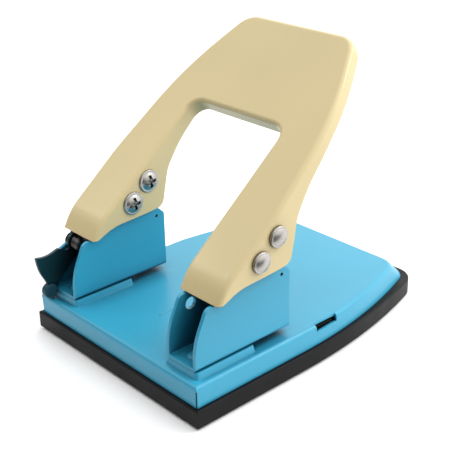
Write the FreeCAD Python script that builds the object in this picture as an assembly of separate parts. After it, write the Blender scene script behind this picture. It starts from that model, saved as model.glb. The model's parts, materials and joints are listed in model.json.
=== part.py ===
"""Two-hole lever punch: table, chip tray, two punch brackets, forked handle and lock lever.

Millimetres. X runs to the right, Y to the rear and Z up. Stations along Y are measured from the
front edge of the chip tray, and save() moves every piece so that the origin lies under the
middle of the punch's outline, on the surface that the feet rest on.
"""
import FreeCAD, Part
import math
import os
from FreeCAD import Vector

os.makedirs("parts", exist_ok=True)

# ---- driving dimensions -------------------------------------------------------------------------
HOLE_PITCH = 80.0           # distance between the two punched holes
HOLE_RADIUS = 3.0
PAPER_MARGIN = 12.0         # paper edge to hole centre
FIT = 0.06                  # radial clearance of pins that turn or slide
SNUG = 0.02                 # radial clearance of pieces that stay put
SIDES = {"left": -1, "right": 1}
ORIGIN_STATION = 72.61      # halfway between the lock lever's tip and the tray's rear edge

# plan outlines: half width, front station, radius of the tapering sides, rear station, corner radius
TAPER_START = 60.0          # station where the straight sides begin to curve inwards
TRAY_OUTLINE = (54.9, 0.0, 285.0, 149.4, 11.0)
LIP_OUTLINE = (51.4, 3.2, 215.0, 140.9, 12.0)
APRON_OUTLINE = (53.1, 1.4, 241.0, 147.6, 11.0)
TABLE_OUTLINE = (53.2, 1.1, 197.3, 136.8, 9.0)

# chip tray, the black foot of the punch
TRAY_TOP = 8.9
TRAY_BOTTOM = 0.8
TRAY_WALL = 2.2
TRAY_FLOOR_TOP = 2.8
TRAY_RIM_UNDERSIDE = 7.1
TRAY_EDGE_RADIUS = 0.7
LIP_TOP = 11.9
LIP_WALL = 1.6
TONGUE_INNER = 48.9
TONGUE_OUTER = 50.6
TONGUE_TOP = 16.2
FOOT_RADIUS = 6.0
FOOT_SINK = 1.2
FOOT_EDGE = 0.4
FOOT_PLACES = ((44.0, 13.0), (34.0, 133.0))

# table, a sheet-steel pressing
TABLE_TOP = 18.45
TABLE_SHEET = 1.2
TABLE_BEND = 1.8
REAR_SLOPE_FACTOR = 1.45    # horizontal thickness of the sloping rear apron over its sheet
WINDOW_FRONT = 68.2         # window for the tray's tongue, in each side of the table
WINDOW_REAR = 81.6
WINDOW_BOTTOM = 15.1
WINDOW_INNER = 50.7
SEAM_HALF = 0.25            # open seam between front and side aprons
MARK_FRONT = 26.8           # raised centre mark, where the middle of a sheet goes
MARK_REAR = 33.6
MARK_RADIUS = 0.55

# seat pads, pressed up from the table, whose rear ends are the paper stops
PAD_TOP = 21.25
PAD_FRONT = 4.4
PAD_REAR = 36.3
PAD_HALF = 9.9
PAD_DRAFT = 0.9
PAD_CORNER = 1.5

# punch brackets
BRACKET_HALF = 8.6
BRACKET_SHEET = 1.5
BRACKET_BEND = 1.8
BRACKET_INNER_BEND = 0.5
BRACKET_FRONT = 5.05
BRACKET_REAR = 56.1
BOSS_RADIUS = 6.0           # rounded top of the wall around the fulcrum
FLOOR_TOP = PAD_TOP + BRACKET_SHEET
WALL_INNER = BRACKET_HALF - BRACKET_SHEET
WIRE_HOLE = Vector(0, 51.6, 47.2)
WIRE_HOLE_RADIUS = 0.75
RIVET_STATIONS = (12.0, 29.5)
RIVET_SHANK = 2.0
RIVET_HEAD = (3.6, 1.5)
RIVET_TAIL = (3.0, 1.0)

# handle: its own frame has the fulcrum at the origin, U up along the arms, N out of their top
FULCRUM = Vector(0, 36.8, 59.0)
HANDLE_TILT = 38.96
HANDLE_SHEET = 1.4
HANDLE_BEND = 2.0
ARM_HALF = 11.8
TOP_N = 8.05                # height of the arms' top face over the fulcrum
SKIRT_DEPTH = 6.4
HANDLE_END_U = 102.2
ARM_TAPER = (51.8, 18.0, 60.0)           # corner of the outline where each side starts to taper
SIDE_SWEEP = (46.92, 66.8, 140.0)      # corner where the sides sweep in towards the grip
GRIP_CORNER = (31.7, HANDLE_END_U, 10.5)
WINDOW_END_U = 53.6
WINDOW_CORNER = 6.7
NOSE_BEND_U = -16.5
NOSE_BEND_RADIUS = 25.0
NOSE_DROOP = 22.0
NOSE_CUT_Z = 47.35

# cross bolts
BOLT_SPACING = 12.07        # fulcrum bolt to drive bolt
DRIVE_RISE = 0.5            # how far the drive bolt lies over the line through the fulcrum
FULCRUM_BARREL_RADIUS = 3.6
DRIVE_BARREL_RADIUS = 3.0
BOLT_SHANK_RADIUS = 1.8
ROLLER_RADIUS = 4.0
NUT_HEAD = (4.5, 1.5, 2.6, 0.25)         # radius, height of the rim, whole height, ledge round the crown
SCREW_HEAD = (5.2, 0.8, 2.4, 0.7)
HEAD_EDGE = 0.45
SCREW_TIP = 1.5             # from the arm's middle plane to the screw's end
RECESS_REACH = 3.0
RECESS_WIDTH = 1.5
RECESS_DEPTH = 1.6
SOCKET_MOUTH = 1.9          # radius of the tapered socket in the middle of the cross recess
SOCKET_END = 0.5
SOCKET_DEPTH = 2.0
WASHER_RADIUS = 6.0
WASHER_PLAY = 0.12

# punches
PUNCH_STATION = PAD_REAR + PAPER_MARGIN
PUNCH_TIP = 21.7
PUNCH_CHAMFER = 0.5
PUNCH_GAP = 0.08            # between the drive roller and the punch's top at rest
GRIND_RADIUS = 8.0          # hollow grind of the cutting end
GRIND_DEPTH = 1.2
GUIDE_RADIUS = 4.5
GUIDE_TOP = 32.0
GUIDE_FLANGE_TOP = 23.9
GUIDE_FLANGE_RADIUS = 6.3
SPRING_TOP = 56.2
SPRING_WIRE = 1.2
SPRING_INNER = 4.9
COLLAR_RADIUS = 6.2
COLLAR_THICKNESS = 1.2
GROOVE_RADIUS = 2.3
GROOVE_HEIGHT = 0.9
CLIP_RADIUS = 4.7
CLIP_THICKNESS = 0.8
CLIP_MOUTH = 1.6
DIE_BOTTOM = 14.7
DIE_HALF = 11.0

# lock lever, inside the left bracket's outer wall
LEVER_PIVOT = Vector(0, 16.9, 41.4)
LEVER_SHEET = 1.4
LEVER_INNER_X = -HOLE_PITCH / 2 - WALL_INNER + 0.35 + LEVER_SHEET
LEVER_PIN_RADIUS = 2.6
LEVER_BOSS_RADIUS = 4.4
LEVER_TAB = Vector(0, 1.5, 22.4)
LEVER_TAB_RADIUS = 3.4
LEVER_TAB_HALF = 1.9
LEVER_TAB_EDGE = 0.9
LEVER_SPRING_RADIUS = 3.3
LEVER_SPRING_LENGTH = 3.2
LEVER_OUTER_HEAD = (3.7, 1.1)
LEVER_INNER_HEAD = (3.4, 1.5)

# ---- helpers ------------------------------------------------------------------------------------


def save(name, shape):
    """Move a finished piece to the part's frame and write it."""
    shape = shape.removeSplitter() if len(shape.Solids) == 1 else shape
    shape.translate(Vector(0, -ORIGIN_STATION, 0))
    if not shape.isValid() or not shape.Solids:
        raise RuntimeError(name + " is not a valid solid")
    shape.exportStep("parts/" + name + ".step")
    print(name, len(shape.Solids), "solid", round(shape.Volume), "mm3")


def rounded_wire(corners, place):
    """Closed wire through corners (a, b, radius), each rounded by a tangent arc of its radius."""
    ends = []
    count = len(corners)
    for i, (a, b, radius) in enumerate(corners):
        here = Vector(a, b, 0)
        before = Vector(*corners[i - 1][:2], 0) - here
        after = Vector(*corners[(i + 1) % count][:2], 0) - here
        before.normalize()
        after.normalize()
        half_angle = before.getAngle(after) / 2
        if radius == 0:
            ends.append((here, here, here))
            continue
        tangent = radius / math.tan(half_angle)
        inward = before + after
        inward.normalize()
        middle = here + inward * (radius / math.sin(half_angle) - radius)
        ends.append((here + before * tangent, middle, here + after * tangent))
    edges = []
    for i, (start, middle, end) in enumerate(ends):
        if (end - start).Length > 1e-6:
            edges.append(Part.Arc(place(start), place(middle), place(end)).toShape())
        following = ends[(i + 1) % count][0]
        if (following - end).Length > 1e-6:
            edges.append(Part.makeLine(place(end), place(following)))
    return Part.Wire(edges)


def side_slab(corners, x_low, x_high):
    """Solid whose outline lies in the YZ plane, between two X positions."""
    wire = rounded_wire(corners, lambda p: Vector(x_low, p.x, p.y))
    return Part.Face(wire).extrude(Vector(x_high - x_low, 0, 0))


def box(x_low, x_high, y_low, y_high, z_low, z_high):
    return Part.makeBox(x_high - x_low, y_high - y_low, z_high - z_low, Vector(x_low, y_low, z_low))


def upright(radius, x, y, z_low, z_high):
    """Round bar along Z."""
    return Part.makeCylinder(radius, z_high - z_low, Vector(x, y, z_low), Vector(0, 0, 1))


def crosswise(radius, centre, x_low, x_high):
    """Round bar along X through a point of the YZ plane."""
    start = Vector(x_low, centre.y, centre.z)
    return Part.makeCylinder(radius, x_high - x_low, start, Vector(1, 0, 0))


def inset_outline(outline, inset, rear_inset=None):
    """Plan outline moved inwards, with its own inset at the rear where the apron slopes."""
    half, front, side_radius, rear, corner = outline
    rear_inset = inset if rear_inset is None else rear_inset
    return half - inset, front + inset, side_radius - inset, rear - rear_inset, corner - inset


def plan_wire(outline, z):
    """Plan outline: straight sides that curve inwards behind TAPER_START, and round rear corners."""
    half, front, side_radius, rear, corner = outline
    centre_x = half - side_radius
    corner_y = rear - corner
    corner_x = centre_x + math.sqrt((side_radius - corner) ** 2 - (corner_y - TAPER_START) ** 2)
    turn = math.atan2(corner_y - TAPER_START, corner_x - centre_x)

    def side_point(angle):
        x = centre_x + side_radius * math.cos(angle)
        return Vector(x, TAPER_START + side_radius * math.sin(angle), z)

    def corner_point(angle):
        return Vector(corner_x + corner * math.cos(angle), corner_y + corner * math.sin(angle), z)

    right = [Vector(half, front, z), Vector(half, TAPER_START, z), side_point(turn / 2), side_point(turn),
             corner_point((turn + math.pi / 2) / 2), corner_point(math.pi / 2)]
    left = [Vector(-p.x, p.y, p.z) for p in right]
    edges = [Part.makeLine(left[0], right[0])]
    edges += [Part.makeLine(right[0], right[1]), Part.Arc(right[1], right[2], right[3]).toShape()]
    edges += [Part.Arc(right[3], right[4], right[5]).toShape(), Part.makeLine(right[5], left[5])]
    edges += [Part.Arc(left[5], left[4], left[3]).toShape(), Part.Arc(left[3], left[2], left[1]).toShape()]
    edges.append(Part.makeLine(left[1], left[0]))
    return Part.Wire(edges)


def plan_slab(outline, z_low, z_high):
    return Part.Face(plan_wire(outline, z_low)).extrude(Vector(0, 0, z_high - z_low))


def edges_where(shape, test):
    """Edges whose sampled points all pass a test."""
    chosen = []
    for edge in shape.Edges:
        points = edge.discretize(5)
        if all(test(p) for p in points):
            chosen.append(edge)
    return chosen


# ---- chip tray ----------------------------------------------------------------------------------


def chip_tray():
    tray = plan_slab(TRAY_OUTLINE, TRAY_BOTTOM, TRAY_TOP)
    rims = edges_where(tray, lambda p: abs(p.z - TRAY_TOP) < 1e-6 or abs(p.z - TRAY_BOTTOM) < 1e-6)
    tray = tray.makeFillet(TRAY_EDGE_RADIUS, rims)
    tray = tray.fuse(plan_slab(LIP_OUTLINE, TRAY_TOP - 1, LIP_TOP))
    tray = tray.cut(plan_slab(inset_outline(TRAY_OUTLINE, TRAY_WALL), TRAY_FLOOR_TOP, TRAY_RIM_UNDERSIDE))
    tray = tray.cut(plan_slab(inset_outline(LIP_OUTLINE, LIP_WALL), TRAY_RIM_UNDERSIDE - 1, LIP_TOP + 1))
    for side in SIDES.values():
        tongue = box(TONGUE_INNER, TONGUE_OUTER, WINDOW_FRONT + 1, WINDOW_REAR - 1, LIP_TOP - 3, TONGUE_TOP)
        if side < 0:
            tongue = tongue.mirror(Vector(0, 0, 0), Vector(1, 0, 0))
        tray = tray.fuse(tongue)
    for x, y in foot_places():
        tray = tray.cut(upright(FOOT_RADIUS + SNUG, x, y, TRAY_BOTTOM - 1, TRAY_BOTTOM + FOOT_SINK))
    return tray


def foot_places():
    return [(side * x, y) for side in SIDES.values() for x, y in FOOT_PLACES]


def tray_feet():
    feet = []
    for x, y in foot_places():
        foot = upright(FOOT_RADIUS, x, y, 0, TRAY_BOTTOM + FOOT_SINK)
        feet.append(foot.makeFillet(FOOT_EDGE, edges_where(foot, lambda p: abs(p.z) < 1e-6)))
    return Part.makeCompound(feet)


# ---- table --------------------------------------------------------------------------------------


def table_form(inset, z_top):
    """Solid table body, or with an inset the hollow under it: the rear apron slopes outwards."""
    rear_inset = inset * REAR_SLOPE_FACTOR
    top = plan_wire(inset_outline(TABLE_OUTLINE, inset, rear_inset), z_top)
    bottom = plan_wire(inset_outline(APRON_OUTLINE, inset, rear_inset), TRAY_TOP)
    form = Part.makeLoft([bottom, top], True, True)
    return form.makeFillet(TABLE_BEND - inset, edges_where(form, lambda p: abs(p.z - z_top) < 1e-6))


def pad_form(side, inset, z_low, z_high):
    """Pressed seat pad with drafted walls, or the hollow under it."""
    def ring(shrink, z):
        x = side * HOLE_PITCH / 2
        half = PAD_HALF - inset - shrink
        front = PAD_FRONT + inset + shrink
        rear = PAD_REAR - inset - shrink / 2
        corners = [(x - half, front), (x + half, front), (x + half, rear), (x - half, rear)]
        return rounded_wire([(a, b, PAD_CORNER) for a, b in corners], lambda p: Vector(p.x, p.y, z))
    return Part.makeLoft([ring(0, z_low), ring(PAD_DRAFT, z_high)], True, True)


def centre_mark():
    """Low rounded rib across the front of the table's middle."""
    rib = Part.makeCylinder(MARK_RADIUS, MARK_REAR - MARK_FRONT, Vector(0, MARK_FRONT, 0), Vector(0, 1, 0))
    for y in (MARK_FRONT, MARK_REAR):
        rib = rib.fuse(Part.makeSphere(MARK_RADIUS, Vector(0, y, 0)))
    rib.translate(Vector(0, 0, TABLE_TOP - 0.1))
    return rib.common(box(-1, 1, MARK_FRONT - 1, MARK_REAR + 1, TABLE_TOP - 0.3, TABLE_TOP + 1))


def base_plate():
    plate = table_form(0, TABLE_TOP)
    for side in SIDES.values():
        plate = plate.fuse(pad_form(side, 0, TABLE_TOP - 0.6, PAD_TOP))
    plate = plate.cut(table_form(TABLE_SHEET, TABLE_TOP - TABLE_SHEET))
    for side in SIDES.values():
        x = side * HOLE_PITCH / 2
        plate = plate.cut(pad_form(side, TABLE_SHEET, TABLE_TOP - TABLE_SHEET - 0.3, PAD_TOP - TABLE_SHEET))
        plate = plate.cut(upright(HOLE_RADIUS + 0.2, x, PUNCH_STATION, DIE_BOTTOM, TABLE_TOP + 1))
        for y in RIVET_STATIONS:
            plate = plate.cut(upright(RIVET_SHANK + SNUG, x, y, DIE_BOTTOM, PAD_TOP + 1))
        window = box(WINDOW_INNER, APRON_OUTLINE[0] + 3, WINDOW_FRONT, WINDOW_REAR,
                     WINDOW_BOTTOM, TABLE_TOP + 1)
        if side < 0:
            window = window.mirror(Vector(0, 0, 0), Vector(1, 0, 0))
        plate = plate.cut(window)
        seam = box(-SEAM_HALF, SEAM_HALF, -1.0, 1.0, TRAY_TOP - 1, TABLE_TOP - TABLE_BEND)
        seam.rotate(Vector(0, 0, 0), Vector(0, 0, 1), side * 45)
        seam.translate(Vector(side * APRON_OUTLINE[0], APRON_OUTLINE[1] - 0.15, 0))
        plate = plate.cut(seam)
    return plate.fuse(centre_mark())


def die_plate(side):
    x = side * HOLE_PITCH / 2
    front = PUNCH_STATION - DIE_HALF
    rear = PUNCH_STATION + DIE_HALF
    die = box(x - DIE_HALF, x + DIE_HALF, front, rear, DIE_BOTTOM, TABLE_TOP - TABLE_SHEET)
    return die.cut(upright(HOLE_RADIUS + FIT, x, PUNCH_STATION, DIE_BOTTOM - 1, TABLE_TOP))


# ---- brackets -----------------------------------------------------------------------------------


def wall_corners(notched):
    """Side outline of a bracket wall. The notched wall is cut lower where the lock lever swings."""
    tilt = math.radians(HANDLE_TILT)
    boss_rear = FULCRUM.y + BOSS_RADIUS
    boss_top = FULCRUM.z + BOSS_RADIUS * (1 + math.sin(tilt)) / math.cos(tilt)
    if notched:
        front = [(BRACKET_FRONT, 32.2, 30.0), (8.8, 39.4, 1.5), (13.4, 41.3, 1.5), (17.6, 46.8, 1.0)]
    else:
        front = [(BRACKET_FRONT, 32.7, 30.0), (11.7, 46.6, 3.0), (17.8, 46.7, 1.5)]
    corners = [(BRACKET_FRONT, PAD_TOP, 0)] + front
    corners += [(22.9, 54.9, 8.0), (boss_rear, boss_top, BOSS_RADIUS), (boss_rear, 53.3, 2.5)]
    corners += [(53.2, 50.6, 1.5), (BRACKET_REAR, 47.7, 1.5), (BRACKET_REAR, PAD_TOP, 0)]
    return corners


def bracket(side):
    x = side * HOLE_PITCH / 2
    channel = box(-BRACKET_HALF, BRACKET_HALF, BRACKET_FRONT, BRACKET_REAR, PAD_TOP, 75)
    channel = channel.makeFillet(BRACKET_BEND, edges_where(
        channel, lambda p: abs(p.z - PAD_TOP) < 1e-6 and abs(abs(p.x) - BRACKET_HALF) < 1e-6))
    space = box(-WALL_INNER, WALL_INNER, BRACKET_FRONT - 1, BRACKET_REAR + 1, FLOOR_TOP, 76)
    space = space.makeFillet(BRACKET_INNER_BEND, edges_where(
        space, lambda p: abs(p.z - FLOOR_TOP) < 1e-6 and abs(abs(p.x) - WALL_INNER) < 1e-6))
    channel = channel.cut(space)
    outer_wall = side_slab(wall_corners(notched=side < 0), -20, 0)
    inner_wall = side_slab(wall_corners(notched=False), 0, 20)
    channel = channel.common(outer_wall.fuse(inner_wall))
    channel = channel.cut(crosswise(FULCRUM_BARREL_RADIUS + FIT, FULCRUM, -12, 12))
    channel = channel.cut(crosswise(LEVER_PIN_RADIUS + SNUG, LEVER_PIVOT, -12, 0))
    channel = channel.cut(crosswise(WIRE_HOLE_RADIUS, WIRE_HOLE, -12, 12))
    channel = channel.cut(upright(GUIDE_RADIUS + SNUG, 0, PUNCH_STATION, 15, FLOOR_TOP + 1))
    for y in RIVET_STATIONS:
        channel = channel.cut(upright(RIVET_SHANK + SNUG, 0, y, 15, FLOOR_TOP + 1))
    channel.translate(Vector(x, 0, 0))
    return channel


def bracket_rivets(side):
    """Rivets that clamp the bracket's floor to the seat pad: domed heads above, flat tails below."""
    x = side * HOLE_PITCH / 2
    rivets = []
    for y in RIVET_STATIONS:
        under = PAD_TOP - TABLE_SHEET
        shank = upright(RIVET_SHANK, x, y, under, FLOOR_TOP)
        tail = upright(RIVET_TAIL[0], x, y, under - RIVET_TAIL[1], under)
        head = dome(RIVET_HEAD[0], RIVET_HEAD[1], Vector(x, y, FLOOR_TOP), Vector(0, 0, 1))
        rivets.append(shank.fuse([tail, head]))
    return Part.makeCompound(rivets)


def dome(radius, height, base, axis):
    """Low rounded head that stands on a point along an axis, turned from its half section."""
    sphere_radius = (radius ** 2 + height ** 2) / (2 * height)
    half_turn = math.asin(radius / sphere_radius) / 2
    across = Vector(0, 1, 0) if abs(axis.y) < 0.5 else Vector(1, 0, 0)
    centre = base + axis * (height - sphere_radius)
    rim = base + across * radius
    crown = base + axis * height
    middle = centre + axis * (sphere_radius * math.cos(half_turn))
    middle = middle + across * (sphere_radius * math.sin(half_turn))
    section = Part.Wire([Part.makeLine(base, rim), Part.Arc(rim, middle, crown).toShape(),
                         Part.makeLine(crown, base)])
    return Part.Face(section).revolve(base, axis, 360)


def pan_head(centre, face, side, size):
    """Bolt head on a face across X: an upright rim, a rounded edge, a ledge and a domed crown."""
    radius, rim, height, ledge = size
    flat = radius - HEAD_EDGE
    shoulder = flat - ledge
    crown_height = height - rim
    sphere_radius = (shoulder ** 2 + crown_height ** 2) / (2 * crown_height)
    half_turn = math.asin(shoulder / sphere_radius) / 2
    diagonal = HEAD_EDGE * math.sqrt(0.5)

    def point(out, up):
        return Vector(face + side * up, centre.y + out, centre.z)

    crown_middle = point(sphere_radius * math.sin(half_turn),
                         height - sphere_radius * (1 - math.cos(half_turn)))
    edge_low = point(radius, rim - HEAD_EDGE)
    edge_middle = point(flat + diagonal, rim - HEAD_EDGE + diagonal)
    edge_high = point(flat, rim)
    crown_foot = point(shoulder, rim)
    seat = point(0, 0)
    top = point(0, height)
    section = Part.Wire([
        Part.makeLine(seat, point(radius, 0)), Part.makeLine(point(radius, 0), edge_low),
        Part.Arc(edge_low, edge_middle, edge_high).toShape(), Part.makeLine(edge_high, crown_foot),
        Part.Arc(crown_foot, crown_middle, top).toShape(), Part.makeLine(top, seat)])
    return Part.Face(section).revolve(seat, Vector(side, 0, 0), 360)


def pin_guide(side):
    x = side * HOLE_PITCH / 2
    guide = upright(GUIDE_RADIUS, x, PUNCH_STATION, PAD_TOP, GUIDE_TOP)
    guide = guide.fuse(upright(GUIDE_FLANGE_RADIUS, x, PUNCH_STATION, FLOOR_TOP, GUIDE_FLANGE_TOP))
    return guide.cut(upright(HOLE_RADIUS + FIT, x, PUNCH_STATION, PAD_TOP - 1, GUIDE_TOP + 1))


# ---- punches ------------------------------------------------------------------------------------


def drive_axis():
    tilt = math.radians(HANDLE_TILT)
    y = FULCRUM.y + BOLT_SPACING * math.cos(tilt) - DRIVE_RISE * math.sin(tilt)
    z = FULCRUM.z + BOLT_SPACING * math.sin(tilt) + DRIVE_RISE * math.cos(tilt)
    return Vector(0, y, z)


def punch_pin(side):
    x = side * HOLE_PITCH / 2
    top = drive_axis().z - ROLLER_RADIUS - PUNCH_GAP
    pin = upright(HOLE_RADIUS, x, PUNCH_STATION, PUNCH_TIP, top)
    pin = pin.makeChamfer(PUNCH_CHAMFER, edges_where(pin, lambda p: abs(p.z - top) < 1e-6))
    groove_low = SPRING_TOP + COLLAR_THICKNESS
    groove = upright(HOLE_RADIUS + 1, x, PUNCH_STATION, groove_low, groove_low + GROOVE_HEIGHT)
    groove = groove.cut(upright(GROOVE_RADIUS, x, PUNCH_STATION, groove_low - 1, groove_low + 2))
    grind_centre = Vector(0, PUNCH_STATION, PUNCH_TIP + GRIND_DEPTH - GRIND_RADIUS)
    return pin.cut(groove).cut(crosswise(GRIND_RADIUS, grind_centre, x - 5, x + 5))


def spring_collar(side):
    x = side * HOLE_PITCH / 2
    high = SPRING_TOP + COLLAR_THICKNESS
    collar = upright(COLLAR_RADIUS, x, PUNCH_STATION, SPRING_TOP, high)
    return collar.cut(upright(HOLE_RADIUS + SNUG, x, PUNCH_STATION, SPRING_TOP - 1, high + 1))


def pin_clip(side):
    """Open spring clip in the punch's groove, over the collar."""
    x = side * HOLE_PITCH / 2
    low = SPRING_TOP + COLLAR_THICKNESS
    high = low + CLIP_THICKNESS
    clip = upright(CLIP_RADIUS, x, PUNCH_STATION, low, high)
    clip = clip.cut(upright(GROOVE_RADIUS + SNUG, x, PUNCH_STATION, low - 1, high + 1))
    mouth = box(x - CLIP_MOUTH, x + CLIP_MOUTH, PUNCH_STATION - 6, PUNCH_STATION, low - 1, high + 1)
    return clip.cut(mouth)


def return_spring(side):
    """Envelope of the coil spring between the guide's flange and the collar."""
    x = side * HOLE_PITCH / 2
    sleeve = upright(SPRING_INNER + SPRING_WIRE, x, PUNCH_STATION, GUIDE_FLANGE_TOP, SPRING_TOP)
    return sleeve.cut(upright(SPRING_INNER, x, PUNCH_STATION, GUIDE_FLANGE_TOP - 1, SPRING_TOP + 1))


# ---- handle -------------------------------------------------------------------------------------


def to_place(shape):
    """Turn a shape from the handle's own frame (X, U, N) to its place at rest."""
    shape.rotate(Vector(0, 0, 0), Vector(1, 0, 0), HANDLE_TILT)
    shape.translate(FULCRUM)
    return shape


def handle_outline(inset, front, n):
    """Outer outline of the handle in its own frame, moved inwards by an inset."""
    half = HOLE_PITCH / 2 + ARM_HALF
    right = [(half, front, 0), ARM_TAPER, SIDE_SWEEP, GRIP_CORNER]
    left = [(-x, u, radius) for x, u, radius in reversed(right)]
    wire = rounded_wire(right + left, lambda p: Vector(p.x, p.y, n))
    return wire.makeOffset2D(-inset) if inset else wire


def handle_form(inset):
    """Solid under the handle's top face, or with an inset the space inside the sheet."""
    front = -60.0
    low = -45.0
    tall = 70.0
    form = Part.Face(handle_outline(inset, front, low)).extrude(Vector(0, 0, tall))
    gap_half = HOLE_PITCH / 2 - ARM_HALF + inset
    gap_end = WINDOW_END_U + inset
    gap_corner = WINDOW_CORNER + inset
    gap = rounded_wire(
        [(-gap_half, front - 5, 0), (gap_half, front - 5, 0), (gap_half, gap_end, gap_corner),
         (-gap_half, gap_end, gap_corner)], lambda p: Vector(p.x, p.y, low - 1))
    form = form.cut(Part.Face(gap).extrude(Vector(0, 0, tall + 2)))
    top = TOP_N - inset
    droop = math.radians(NOSE_DROOP)
    bend_u = NOSE_BEND_U + inset * math.tan(droop / 2)
    front_n = top - (bend_u - front) * math.tan(droop)
    under_top = side_slab(
        [(front, low, 0), (front, front_n, 0), (bend_u, top, NOSE_BEND_RADIUS - inset), (120, top, 0),
         (120, low, 0)], -80, 80)
    form = form.common(under_top)

    def near_top(p):
        """On the flat top, on the drooping nose or on the bend between them."""
        line = top - max(0, bend_u - p.y) * math.tan(droop)
        return line - 0.6 < p.z < line + 1e-3 and p.y > front - 1e-3

    chosen = [edge for edge in edges_where(form, near_top) if not crosses_arm(edge)]
    return form.makeFillet(HANDLE_BEND - inset, chosen)


def crosses_arm(edge):
    """True for edges that run straight across an arm, at the nose's bend and at its front end."""
    start, end = edge.Vertexes[0].Point, edge.Vertexes[-1].Point
    return abs(start.y - end.y) < 1e-3 and start.y < 0


def handle():
    sheet = to_place(handle_form(0).cut(handle_form(HANDLE_SHEET)))
    tilt = math.radians(HANDLE_TILT)
    edge_n = TOP_N - SKIRT_DEPTH
    far_u = 125.0
    far_y = FULCRUM.y + far_u * math.cos(tilt) - edge_n * math.sin(tilt)
    far_z = FULCRUM.z + far_u * math.sin(tilt) + edge_n * math.cos(tilt)
    # the skirts' lower edge: nose, long edge over the brackets, rounded heel, then along the arms
    below = [(-20, -60, 0), (-20, NOSE_CUT_Z, 0), (17.3, NOSE_CUT_Z, 4), (25.5, 51.0, 25), (44.5, 52.0, 60),
             (53.3, 52.9, 4.5), (57.0, 70.2, 20), (64.8, 81.6, 60), (80.2, 95.9, 60),
             (far_y, far_z, 0), (220, far_z, 0), (220, -60, 0)]
    sheet = sheet.cut(side_slab(below, -80, 80))
    for side in SIDES.values():
        x = side * HOLE_PITCH / 2
        sheet = sheet.cut(crosswise(FULCRUM_BARREL_RADIUS + SNUG, FULCRUM, x - 15, x + 15))
        sheet = sheet.cut(crosswise(DRIVE_BARREL_RADIUS + SNUG, drive_axis(), x - 15, x + 15))
    return sheet


# ---- cross bolts --------------------------------------------------------------------------------


def barrel_nut(side, centre, radius):
    """Shouldered nut with a smooth head on the outer side of an arm."""
    middle = side * HOLE_PITCH / 2
    face = middle + side * ARM_HALF
    end = middle - side * (ARM_HALF - 0.2)
    barrel = crosswise(radius, centre, min(face, end), max(face, end))
    bore_end = middle - side
    bore = crosswise(BOLT_SHANK_RADIUS + SNUG, centre, min(end, bore_end), max(end, bore_end))
    return barrel.fuse(pan_head(centre, face, side, NUT_HEAD)).cut(bore)


def barrel_screw(side, centre):
    """Cross-recess screw on the inner side of an arm, which threads into the barrel nut."""
    middle = side * HOLE_PITCH / 2
    face = middle - side * ARM_HALF
    head = pan_head(centre, face, -side, SCREW_HEAD)
    tip = middle - side * SCREW_TIP
    shank = crosswise(BOLT_SHANK_RADIUS, centre, min(face, tip), max(face, tip))
    crown = Vector(face - side * SCREW_HEAD[2], centre.y, centre.z)
    floor = side * RECESS_DEPTH
    for turn in (45 - HANDLE_TILT, 135 - HANDLE_TILT):
        wing = box(min(floor, -side), max(floor, -side), -RECESS_REACH, RECESS_REACH,
                   -RECESS_WIDTH / 2, RECESS_WIDTH / 2)
        wing.rotate(Vector(0, 0, 0), Vector(1, 0, 0), turn)
        wing.translate(crown)
        head = head.cut(wing)
    socket = Part.makeCone(SOCKET_MOUTH, SOCKET_END, SOCKET_DEPTH, crown, Vector(side, 0, 0))
    return head.cut(socket).fuse(shank)


def drive_roller(side):
    """Hardened sleeve on the drive bolt, which presses the punch down."""
    x = side * HOLE_PITCH / 2
    half = ARM_HALF - HANDLE_SHEET - 0.1
    roller = crosswise(ROLLER_RADIUS, drive_axis(), x - half, x + half)
    return roller.cut(crosswise(DRIVE_BARREL_RADIUS + SNUG, drive_axis(), x - half - 1, x + half + 1))


def fulcrum_washers(side):
    """Spacers that centre the arm over the bracket, one between each wall and skirt."""
    x = side * HOLE_PITCH / 2
    thickness = ARM_HALF - HANDLE_SHEET - BRACKET_HALF - WASHER_PLAY
    washers = []
    for sign in (-1, 1):
        near = x + sign * (BRACKET_HALF + WASHER_PLAY / 2)
        low = min(near, near + sign * thickness)
        washer = crosswise(WASHER_RADIUS, FULCRUM, low, low + thickness)
        bore = crosswise(FULCRUM_BARREL_RADIUS + SNUG, FULCRUM, low - 1, low + thickness + 1)
        washers.append(washer.cut(bore))
    return Part.makeCompound(washers)


# ---- lock lever ---------------------------------------------------------------------------------


def lock_lever():
    """Plate with a horn that props the handle's nose up when the handle is held down."""
    pivot_y, pivot_z = LEVER_PIVOT.y, LEVER_PIVOT.z
    tab_y, tab_z = LEVER_TAB.y, LEVER_TAB.z
    low_x, high_x = LEVER_INNER_X - LEVER_SHEET, LEVER_INNER_X
    outline = [
        (-4.3, 40.1, 0.6), (1.4, 38.9, 14), (7.7, 41.0, 1.2), (11.0, 38.9, 1.2), (pivot_y, pivot_z - 0.4, 0),
        (pivot_y + 3.2, pivot_z - 3.6, 2), (tab_y + 5.1, tab_z + 3.6, 2.5), (tab_y + 3.3, tab_z, 0),
        (tab_y - 1.0, tab_z, 0), (tab_y - 1.4, tab_z + 4.2, 3), (-3.2, 33.1, 20)]
    plate = side_slab(outline, low_x, high_x)
    boss = crosswise(LEVER_BOSS_RADIUS, LEVER_PIVOT, low_x, high_x)
    tip = crosswise(LEVER_TAB_RADIUS - LEVER_TAB_EDGE, LEVER_TAB, low_x, high_x)
    lever = plate.fuse([boss, tip])
    return lever.cut(crosswise(LEVER_PIN_RADIUS + FIT, LEVER_PIVOT, low_x - 1, high_x + 1))


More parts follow.
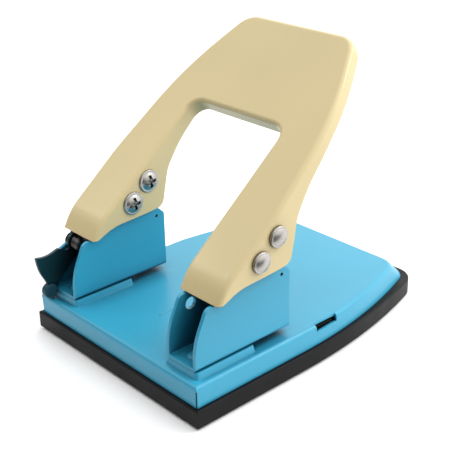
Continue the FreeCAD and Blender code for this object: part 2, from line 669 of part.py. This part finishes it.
def lever_tab():
    """Moulded finger tab pressed over the lever's lower end."""
    middle = LEVER_INNER_X - LEVER_SHEET / 2
    low, high = middle - LEVER_TAB_HALF, middle + LEVER_TAB_HALF
    tab = crosswise(LEVER_TAB_RADIUS, LEVER_TAB, low, high)
    rims = edges_where(tab, lambda p: abs(abs(p.x - middle) - LEVER_TAB_HALF) < 1e-6)
    return tab.makeFillet(LEVER_TAB_EDGE, rims).cut(lock_lever())


def lever_pivot():
    """Shouldered rivet through the bracket's outer wall, with a head on each end."""
    wall_outside = -HOLE_PITCH / 2 - BRACKET_HALF
    head_face = LEVER_INNER_X + LEVER_SPRING_LENGTH + 0.2
    pin = crosswise(LEVER_PIN_RADIUS, LEVER_PIVOT, wall_outside, head_face)
    outer_head = dome(*LEVER_OUTER_HEAD, Vector(wall_outside, LEVER_PIVOT.y, LEVER_PIVOT.z), Vector(-1, 0, 0))
    inner_head = dome(*LEVER_INNER_HEAD, Vector(head_face, LEVER_PIVOT.y, LEVER_PIVOT.z), Vector(1, 0, 0))
    return pin.fuse([outer_head, inner_head])


def lever_spring():
    """Envelope of the small coil that presses the lever against the wall."""
    low = LEVER_INNER_X + 0.1
    high = low + LEVER_SPRING_LENGTH
    spring = crosswise(LEVER_SPRING_RADIUS, LEVER_PIVOT, low, high)
    return spring.cut(crosswise(LEVER_PIN_RADIUS + 0.1, LEVER_PIVOT, low - 1, high + 1))


# ---- all pieces ---------------------------------------------------------------------------------

save("base_plate", base_plate())
save("chip_tray", chip_tray())
save("tray_feet", tray_feet())
save("handle", handle())
save("lock_lever", lock_lever())
save("lever_tab", lever_tab())
save("lever_pivot", lever_pivot())
save("lever_spring", lever_spring())
for label, sign in SIDES.items():
    save(label + "_bracket", bracket(sign))
    save(label + "_bracket_rivets", bracket_rivets(sign))
    save(label + "_die_plate", die_plate(sign))
    save(label + "_pin_guide", pin_guide(sign))
    save(label + "_punch_pin", punch_pin(sign))
    save(label + "_spring_collar", spring_collar(sign))
    save(label + "_pin_clip", pin_clip(sign))
    save(label + "_return_spring", return_spring(sign))
    save(label + "_fulcrum_nut", barrel_nut(sign, FULCRUM, FULCRUM_BARREL_RADIUS))
    save(label + "_fulcrum_screw", barrel_screw(sign, FULCRUM))
    save(label + "_fulcrum_washers", fulcrum_washers(sign))
    save(label + "_drive_nut", barrel_nut(sign, drive_axis(), DRIVE_BARREL_RADIUS))
    save(label + "_drive_screw", barrel_screw(sign, drive_axis()))
    save(label + "_drive_roller", drive_roller(sign))
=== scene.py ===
"""Looks for the two-hole lever punch: materials, coil springs, floor, light and camera."""
import json
import math

import bmesh
import bpy
from mathutils import Matrix, Vector


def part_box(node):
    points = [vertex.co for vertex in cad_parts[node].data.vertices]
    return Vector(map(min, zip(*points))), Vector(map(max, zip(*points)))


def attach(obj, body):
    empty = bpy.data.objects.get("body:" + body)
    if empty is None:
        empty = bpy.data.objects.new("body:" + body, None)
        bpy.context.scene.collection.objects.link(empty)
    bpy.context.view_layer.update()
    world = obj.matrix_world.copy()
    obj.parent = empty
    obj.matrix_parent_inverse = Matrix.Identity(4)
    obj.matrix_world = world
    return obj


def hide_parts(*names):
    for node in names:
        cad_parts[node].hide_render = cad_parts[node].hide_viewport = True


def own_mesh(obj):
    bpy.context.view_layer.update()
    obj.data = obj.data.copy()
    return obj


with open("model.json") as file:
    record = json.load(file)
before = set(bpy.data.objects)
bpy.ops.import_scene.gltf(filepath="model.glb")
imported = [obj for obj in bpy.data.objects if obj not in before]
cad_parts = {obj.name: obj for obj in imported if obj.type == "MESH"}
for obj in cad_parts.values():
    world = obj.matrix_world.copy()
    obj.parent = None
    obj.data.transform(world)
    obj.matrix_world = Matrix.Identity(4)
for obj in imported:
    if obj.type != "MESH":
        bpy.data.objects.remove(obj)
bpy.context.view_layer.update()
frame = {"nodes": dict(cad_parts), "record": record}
nodes = frame["nodes"]


# ---- node graphs ---------------------------------------------------------------------------------


BEVEL_SAMPLES = 6
PAINTED_SHADE_SAMPLES = 8


class Graph:
    """Small helper that builds one procedural material."""

    def __init__(self, name):
        self.material = bpy.data.materials.new(name)
        self.material.use_nodes = True
        self.tree = self.material.node_tree
        self.tree.nodes.clear()
        self.shader = self.tree.nodes.new("ShaderNodeBsdfPrincipled")
        output = self.tree.nodes.new("ShaderNodeOutputMaterial")
        self.tree.links.new(self.shader.outputs["BSDF"], output.inputs["Surface"])
        self.place = self.tree.nodes.new("ShaderNodeTexCoord").outputs["Object"]

    def put(self, value, socket):
        if isinstance(value, bpy.types.NodeSocket):
            self.tree.links.new(value, socket)
        elif isinstance(value, (tuple, list)) and len(value) == 3 and socket.type == "RGBA":
            socket.default_value = (*value, 1.0)
        else:
            socket.default_value = value

    def constants(self, **values):
        """Values that are the same all over the surface, set on the shader's own sockets."""
        for key, value in values.items():
            self.shader.inputs[key.replace("_", " ")].default_value = value

    def noise(self, scale, detail=2.0, roughness=0.5, stretch=None):
        node = self.tree.nodes.new("ShaderNodeTexNoise")
        place = self.place
        if stretch:
            mapping = self.tree.nodes.new("ShaderNodeMapping")
            mapping.inputs["Scale"].default_value = stretch
            self.tree.links.new(place, mapping.inputs["Vector"])
            place = mapping.outputs["Vector"]
        self.tree.links.new(place, node.inputs["Vector"])
        node.inputs["Scale"].default_value = scale
        node.inputs["Detail"].default_value = detail
        node.inputs["Roughness"].default_value = roughness
        return node.outputs["Fac"]

    def cells(self, scale):
        node = self.tree.nodes.new("ShaderNodeTexVoronoi")
        self.tree.links.new(self.place, node.inputs["Vector"])
        node.inputs["Scale"].default_value = scale
        return node.outputs["Distance"]

    def remap(self, value, low, high, to_low=0.0, to_high=1.0):
        node = self.tree.nodes.new("ShaderNodeMapRange")
        self.put(value, node.inputs["Value"])
        node.inputs["From Min"].default_value = low
        node.inputs["From Max"].default_value = high
        node.inputs["To Min"].default_value = to_low
        node.inputs["To Max"].default_value = to_high
        return node.outputs["Result"]

    def math(self, operation, a, b=0.0):
        node = self.tree.nodes.new("ShaderNodeMath")
        node.operation = operation
        self.put(a, node.inputs[0])
        self.put(b, node.inputs[1])
        return node.outputs["Value"]

    def mix(self, factor, a, b):
        node = self.tree.nodes.new("ShaderNodeMix")
        node.data_type = "RGBA"
        self.put(factor, node.inputs[0])
        self.put(a, node.inputs[6])
        self.put(b, node.inputs[7])
        return node.outputs[2]

    def rounded_normal(self, radius):
        """Shading normal of edges that are broken by a small radius."""
        node = self.tree.nodes.new("ShaderNodeBevel")
        node.samples = BEVEL_SAMPLES
        node.inputs["Radius"].default_value = radius
        return node.outputs["Normal"]

    def edge_mask(self, radius, full=0.12):
        """One along the sheet's edges and corners, and zero on its faces."""
        rounded = self.rounded_normal(radius)
        true_normal = self.tree.nodes.new("ShaderNodeNewGeometry").outputs["Normal"]
        dot = self.tree.nodes.new("ShaderNodeVectorMath")
        dot.operation = "DOT_PRODUCT"
        self.tree.links.new(rounded, dot.inputs[0])
        self.tree.links.new(true_normal, dot.inputs[1])
        return self.remap(dot.outputs["Value"], 1.0 - full, 1.0, 1.0, 0.0)

    def painted_shade_mask(self, distance, low, high, dark):
        """Painted shade from ambient occlusion: one on open faces, falling to a dark share inside folds
        and channels.
        """
        node = self.tree.nodes.new("ShaderNodeAmbientOcclusion")
        node.samples = PAINTED_SHADE_SAMPLES
        node.inputs["Distance"].default_value = distance
        return self.remap(node.outputs["AO"], low, high, dark, 1.0)

    def bump(self, height, distance, strength=1.0, normal=None):
        node = self.tree.nodes.new("ShaderNodeBump")
        node.inputs["Distance"].default_value = distance
        node.inputs["Strength"].default_value = strength
        self.tree.links.new(height, node.inputs["Height"])
        if normal is not None:
            self.tree.links.new(normal, node.inputs["Normal"])
        return node.outputs["Normal"]

    def finish(self, colour, roughness, normal):
        self.put(colour, self.shader.inputs["Base Color"])
        self.put(roughness, self.shader.inputs["Roughness"])
        self.put(normal, self.shader.inputs["Normal"])
        return self.material


def shade(colour, factor):
    return tuple(min(1.0, c * factor) for c in colour)


def painted_shade_tone(colour):
    """Darker and more saturated: painted shade for paint that light reaches only by bouncing off
    itself.
    """
    return tuple(0.30 * c ** 1.5 for c in colour)


def enamel(name, colour, roughness):
    """Semi-gloss stove enamel: orange peel, slow colour drift, a painted highlight along the edges and
    painted shade in crevices and channels.
    """
    g = Graph(name)
    drift = g.noise(22.0, 1.0, 0.4)
    flecks = g.remap(g.noise(1300.0, 2.0), 0.35, 0.65)
    tone = g.mix(drift, shade(colour, 0.94), shade(colour, 1.06))
    tone = g.mix(g.math("MULTIPLY", flecks, 0.10), tone, shade(colour, 0.86))
    # painted highlight: the paint is lighter along sheet edges and corners, in patches
    edge = g.edge_mask(0.0007)
    highlight_patches = g.remap(g.noise(160.0, 4.0, 0.6), 0.40, 0.62)
    edge_highlight = g.math("MULTIPLY", edge, g.remap(highlight_patches, 0.0, 1.0, 0.12, 0.40))
    tone = g.mix(edge_highlight, tone, shade(colour, 1.35))
    # painted shade: ambient occlusion darkens crevices, the bracket channels and the gaps under parts
    # towards a darker, more saturated copy of the paint
    crevice_shade = g.painted_shade_mask(0.022, 0.28, 0.74, 0.0)
    tone = g.mix(crevice_shade, painted_shade_tone(colour), tone)
    smudge = g.noise(35.0, 1.0, 0.4)
    rough = g.math("ADD", g.remap(smudge, 0.0, 1.0, -0.06, 0.06), roughness)
    normal = g.rounded_normal(0.00045)
    normal = g.bump(g.noise(330.0, 1.5), 0.00006, 0.35, normal)
    normal = g.bump(g.noise(1500.0, 1.0), 0.00002, 0.25, normal)
    g.constants(IOR=1.42, Coat_Weight=0.12, Coat_Roughness=0.10, Coat_IOR=1.45)
    return g.finish(tone, rough, normal)


def plastic(name, colour, grain, roughness):
    """Moulded plastic with a fine grain, rubbed smoother along its edges, with a painted highlight
    along them.
    """
    g = Graph(name)
    drift = g.remap(g.noise(30.0, 3.0), 0.3, 0.7)
    tone = g.mix(drift, shade(colour, 0.85), shade(colour, 1.15))
    speck = g.remap(g.cells(grain), 0.0, 0.6)
    tone = g.mix(g.math("MULTIPLY", speck, 0.25), tone, shade(colour, 1.6))
    edge = g.edge_mask(0.0008)
    # painted highlight: the tone is paler along the edges
    tone = g.mix(g.math("MULTIPLY", edge, 0.35), tone, shade(colour, 2.6))
    rough = g.math("ADD", g.remap(g.noise(60.0, 4.0), 0.3, 0.7, -0.06, 0.08), roughness)
    rough = g.math("SUBTRACT", rough, g.math("MULTIPLY", edge, 0.12))
    normal = g.rounded_normal(0.0004)
    normal = g.bump(g.cells(grain), 0.00006, 0.6, normal)
    g.constants(IOR=1.24)
    return g.finish(tone, rough, normal)


def metal(name, colour, roughness, stretch, lines, marks):
    """Bare or plated steel: drawn or turned lines, faint stains, paler edges and painted shade in
    recesses.
    """
    g = Graph(name)
    stain = g.remap(g.noise(140.0, 4.0, 0.6), 0.35, 0.68)
    tone = g.mix(g.math("MULTIPLY", stain, marks), colour, shade(colour, 0.62))
    edge = g.edge_mask(0.0003)
    tone = g.mix(g.math("MULTIPLY", edge, 0.4), tone, shade(colour, 1.25))
    # painted shade: ambient occlusion darkens recesses such as the screw heads' cross recesses and the
    # gaps between coil turns
    tone = g.mix(g.painted_shade_mask(0.0022, 0.35, 0.85, 0.0), shade(colour, 0.10), tone)
    grain = g.noise(1.0, 3.0, 0.6, stretch=stretch)
    rough = g.math("ADD", g.remap(grain, 0.3, 0.7, -0.05, 0.08), roughness)
    rough = g.math("ADD", rough, g.math("MULTIPLY", stain, 0.10))
    normal = g.rounded_normal(0.0002)
    normal = g.bump(grain, 0.00002, lines, normal)
    g.constants(Metallic=1.0)
    return g.finish(tone, rough, normal)


def rubber(name):
    g = Graph(name)
    colour = (0.022, 0.021, 0.021)
    dust = g.remap(g.noise(220.0, 5.0, 0.65), 0.45, 0.72)
    tone = g.mix(g.math("MULTIPLY", dust, 0.35), colour, (0.075, 0.070, 0.064))
    rough = g.remap(g.noise(500.0, 3.0), 0.3, 0.7, 0.70, 0.88)
    normal = g.bump(g.noise(1400.0, 3.0, 0.6), 0.00008, 0.6, g.rounded_normal(0.0004))
    return g.finish(tone, rough, normal)


BLUE = (0.030, 0.315, 0.480)
CREAM = (0.635, 0.520, 0.275)
looks = {
    "blue_paint": enamel("blue_enamel", BLUE, 0.35),
    "cream_paint": enamel("cream_enamel", CREAM, 0.35),
    "lever_paint": enamel("lever_enamel", (0.0045, 0.030, 0.040), 0.35),
    "black_plastic": plastic("tray_plastic", (0.0035, 0.0033, 0.0040), 2200.0, 0.46),
    "tab_plastic": plastic("tab_plastic", (0.012, 0.050, 0.070), 1800.0, 0.42),
    "foot_rubber": rubber("foot_rubber"),
    "chrome": metal("nickel_chrome", (0.42, 0.40, 0.37), 0.25, (900.0, 900.0, 900.0), 0.30, 0.10),
    "tool_steel": metal("ground_steel", (0.52, 0.51, 0.50), 0.26, (120.0, 120.0, 4200.0), 0.5, 0.35),
    "spring_steel": metal("drawn_wire", (0.16, 0.155, 0.15), 0.30, (1500.0, 1500.0, 900.0), 0.4, 0.45),
}
for part in frame["record"]["subparts"]:
    own = nodes[part["node"]]
    own.data.materials.clear()
    own.data.materials.append(looks[part["material_slot"]])


# ---- pieces --------------------------------------------------------------------------------------


def tube_along(name, points, radius, sides=12):
    """Closed round wire that follows points; every ring is square to the wire."""
    mesh = bmesh.new()
    rings = []
    last = len(points) - 1
    across = None
    for i, here in enumerate(points):
        along = (points[min(i + 1, last)] - points[max(i - 1, 0)]).normalized()
        if across is None:
            across = along.orthogonal().normalized()
        across = (across - along * across.dot(along)).normalized()
        other = along.cross(across)
        ring = []
        for k in range(sides):
            angle = 2 * math.pi * k / sides
            offset = across * math.cos(angle) + other * math.sin(angle)
            ring.append(mesh.verts.new(here + offset * radius))
        rings.append(ring)
    for ring, following in zip(rings, rings[1:]):
        for k in range(sides):
            after = (k + 1) % sides
            face = mesh.faces.new((ring[k], ring[after], following[after], following[k]))
            face.smooth = True
    mesh.faces.new(list(reversed(rings[0])))
    mesh.faces.new(rings[-1])
    bmesh.ops.recalc_face_normals(mesh, faces=mesh.faces)
    data = bpy.data.meshes.new(name)
    mesh.to_mesh(data)
    mesh.free()
    piece = bpy.data.objects.new(name, data)
    bpy.context.scene.collection.objects.link(piece)
    return piece


CLOSED_PITCH = 1.02                     # pitch of the closed end turns, in wire diameters


def coil_points(radius, wire, length, turns, closed, steps=30):
    """Centreline of a compression coil that stands on z = 0, with closed turns at both ends."""
    rise = length - wire
    closed_pitch = wire * CLOSED_PITCH
    dead = closed * closed_pitch
    points = []
    total = int(turns * steps)
    for i in range(total + 1):
        turn = i / steps
        if turn < closed:
            z = closed_pitch * turn
        elif turn > turns - closed:
            z = rise - closed_pitch * (turns - turn)
        else:
            share = (turn - closed) / (turns - 2 * closed)
            z = dead + (rise - 2 * dead) * share
        angle = 2 * math.pi * turn
        points.append(Vector((radius * math.cos(angle), radius * math.sin(angle), z + wire / 2)))
    return points


SPRING_WIRE = 0.0012
SPRING_TURNS = 9.5
SPRING_GAP = 0.00004                    # clearance inside the solid that the coil replaces
for side in ("left", "right"):
    low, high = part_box(side + "_return_spring")
    centre = (low + high) / 2
    mean_radius = (high.x - low.x) / 2 - SPRING_WIRE / 2 - SPRING_GAP
    line = coil_points(mean_radius, SPRING_WIRE, high.z - low.z - 2 * SPRING_GAP, SPRING_TURNS, 1.0)
    base = Vector((centre.x, centre.y, low.z + SPRING_GAP))
    coil = tube_along(side + "_return_coil", [p + base for p in line], SPRING_WIRE / 2)
    coil.data.materials.append(looks["spring_steel"])
    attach(coil, "base")
    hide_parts(side + "_return_spring")
    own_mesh(coil)

LEVER_WIRE = 0.0006
LEVER_TURNS = 4.0
low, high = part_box("lever_spring")
centre = (low + high) / 2
mean_radius = (high.z - low.z) / 2 - LEVER_WIRE / 2 - SPRING_GAP
line = coil_points(mean_radius, LEVER_WIRE, high.x - low.x, LEVER_TURNS, 0.75)
turned = [Vector((low.x + p.z, centre.y + p.x, centre.z + p.y)) for p in line]
coil = tube_along("lever_coil", turned, LEVER_WIRE / 2, 10)
coil.data.materials.append(looks["spring_steel"])
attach(coil, "base")
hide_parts("lever_spring")


# ---- floor, light and camera ---------------------------------------------------------------------

FLOOR = 6.0                             # half size of the floor
TOWARDS_CAMERA = (0.742, -0.670)        # level direction from the punch to the camera
SHEET_END = 0.118                       # how far the white sheet reaches in that direction
SHEET_BLUR = 0.02
BRIGHT_SIDE = (0.20, 0.59, 0.78)        # direction of the studio's brightest part
DIM_FROM = -0.45                        # cosines from that direction where the glow starts and ends
BRIGHT_FROM = 0.95
DIM_GLOW = 0.02
BRIGHT_GLOW = 2.0

floor_mesh = bpy.data.meshes.new("floor")
floor_mesh.from_pydata([(-FLOOR, -FLOOR, 0), (FLOOR, -FLOOR, 0), (FLOOR, FLOOR, 0), (-FLOOR, FLOOR, 0)],
                       [], [(0, 1, 2, 3)])
floor = bpy.data.objects.new("floor", floor_mesh)
bpy.context.scene.collection.objects.link(floor)
# a white sheet under the punch, which ends on a dark bench towards the camera
g = Graph("pale_floor")
split = g.tree.nodes.new("ShaderNodeSeparateXYZ")
g.tree.links.new(g.place, split.inputs["Vector"])
towards = g.math("ADD", g.math("MULTIPLY", split.outputs["X"], TOWARDS_CAMERA[0]),
                 g.math("MULTIPLY", split.outputs["Y"], TOWARDS_CAMERA[1]))
sheet = g.remap(towards, SHEET_END, SHEET_END + SHEET_BLUR, 1.0, 0.0)
white = g.mix(g.remap(g.noise(6.0, 3.0), 0.3, 0.7), (0.90, 0.90, 0.90), (0.93, 0.93, 0.93))
tone = g.mix(sheet, (0.05, 0.05, 0.055), white)
floor_mesh.materials.append(g.finish(tone, g.remap(g.noise(12.0), 0.3, 0.7, 0.72, 0.80),
                                     g.bump(g.noise(700.0), 0.0001, 0.05)))

# the studio is brightest behind the punch and above it, and dim on the camera's side
world = bpy.data.worlds.new("studio")
bpy.context.scene.world = world
world.use_nodes = True
tree = world.node_tree
direction = tree.nodes.new("ShaderNodeTexCoord").outputs["Generated"]
dot = tree.nodes.new("ShaderNodeVectorMath")
dot.operation = "DOT_PRODUCT"
dot.inputs[1].default_value = Vector(BRIGHT_SIDE).normalized()
tree.links.new(direction, dot.inputs[0])
glow = tree.nodes.new("ShaderNodeMapRange")
glow.interpolation_type = "SMOOTHSTEP"
tree.links.new(dot.outputs["Value"], glow.inputs["Value"])
glow.inputs["From Min"].default_value = DIM_FROM
glow.inputs["From Max"].default_value = BRIGHT_FROM
glow.inputs["To Min"].default_value = DIM_GLOW
glow.inputs["To Max"].default_value = BRIGHT_GLOW
tree.nodes["Background"].inputs["Color"].default_value = (1.0, 1.0, 1.0, 1.0)
tree.links.new(glow.outputs["Result"], tree.nodes["Background"].inputs["Strength"])


def soft_light(name, place, target, size, power):
    lamp = bpy.data.lights.new(name, "AREA")
    lamp.shape = "SQUARE"
    lamp.size = size
    lamp.energy = power
    light = bpy.data.objects.new(name, lamp)
    light.location = place
    light.rotation_mode = "QUATERNION"
    light.rotation_quaternion = (Vector(target) - Vector(place)).to_track_quat("-Z", "Y")
    bpy.context.scene.collection.objects.link(light)


soft_light("rear_lamp", (0.42, 0.61, 0.67), (0, 0, 0.03), 0.32, 3.0)
soft_light("front_lamp", (-0.67, -0.42, 0.61), (0, 0, 0.05), 0.22, 0.8)

CAMERA_PLACE = Vector((0.30012, -0.27536, 0.23375))
CAMERA_AZIMUTH = math.radians(47.905)
CAMERA_ELEVATION = math.radians(25.035)
CAMERA_ROLL = math.radians(-1.110)
back = Vector((math.sin(CAMERA_AZIMUTH) * math.cos(CAMERA_ELEVATION),
               -math.cos(CAMERA_AZIMUTH) * math.cos(CAMERA_ELEVATION),
               math.sin(CAMERA_ELEVATION)))
level = (-back).cross(Vector((0, 0, 1))).normalized()
upward = level.cross(-back).normalized()
right = level * math.cos(CAMERA_ROLL) + upward * math.sin(CAMERA_ROLL)
up = upward * math.cos(CAMERA_ROLL) - level * math.sin(CAMERA_ROLL)
lens = bpy.data.cameras.new("camera")
lens.sensor_width = 36.0
lens.lens = 78.634
lens.clip_start = 0.01
camera = bpy.data.objects.new("camera", lens)
bpy.context.scene.collection.objects.link(camera)
facing = Matrix((right, up, back)).transposed().to_4x4()
camera.matrix_world = Matrix.Translation(CAMERA_PLACE) @ facing
bpy.context.scene.camera = camera
bpy.context.scene.view_settings.view_transform = "Standard"

bpy.context.view_layer.update()
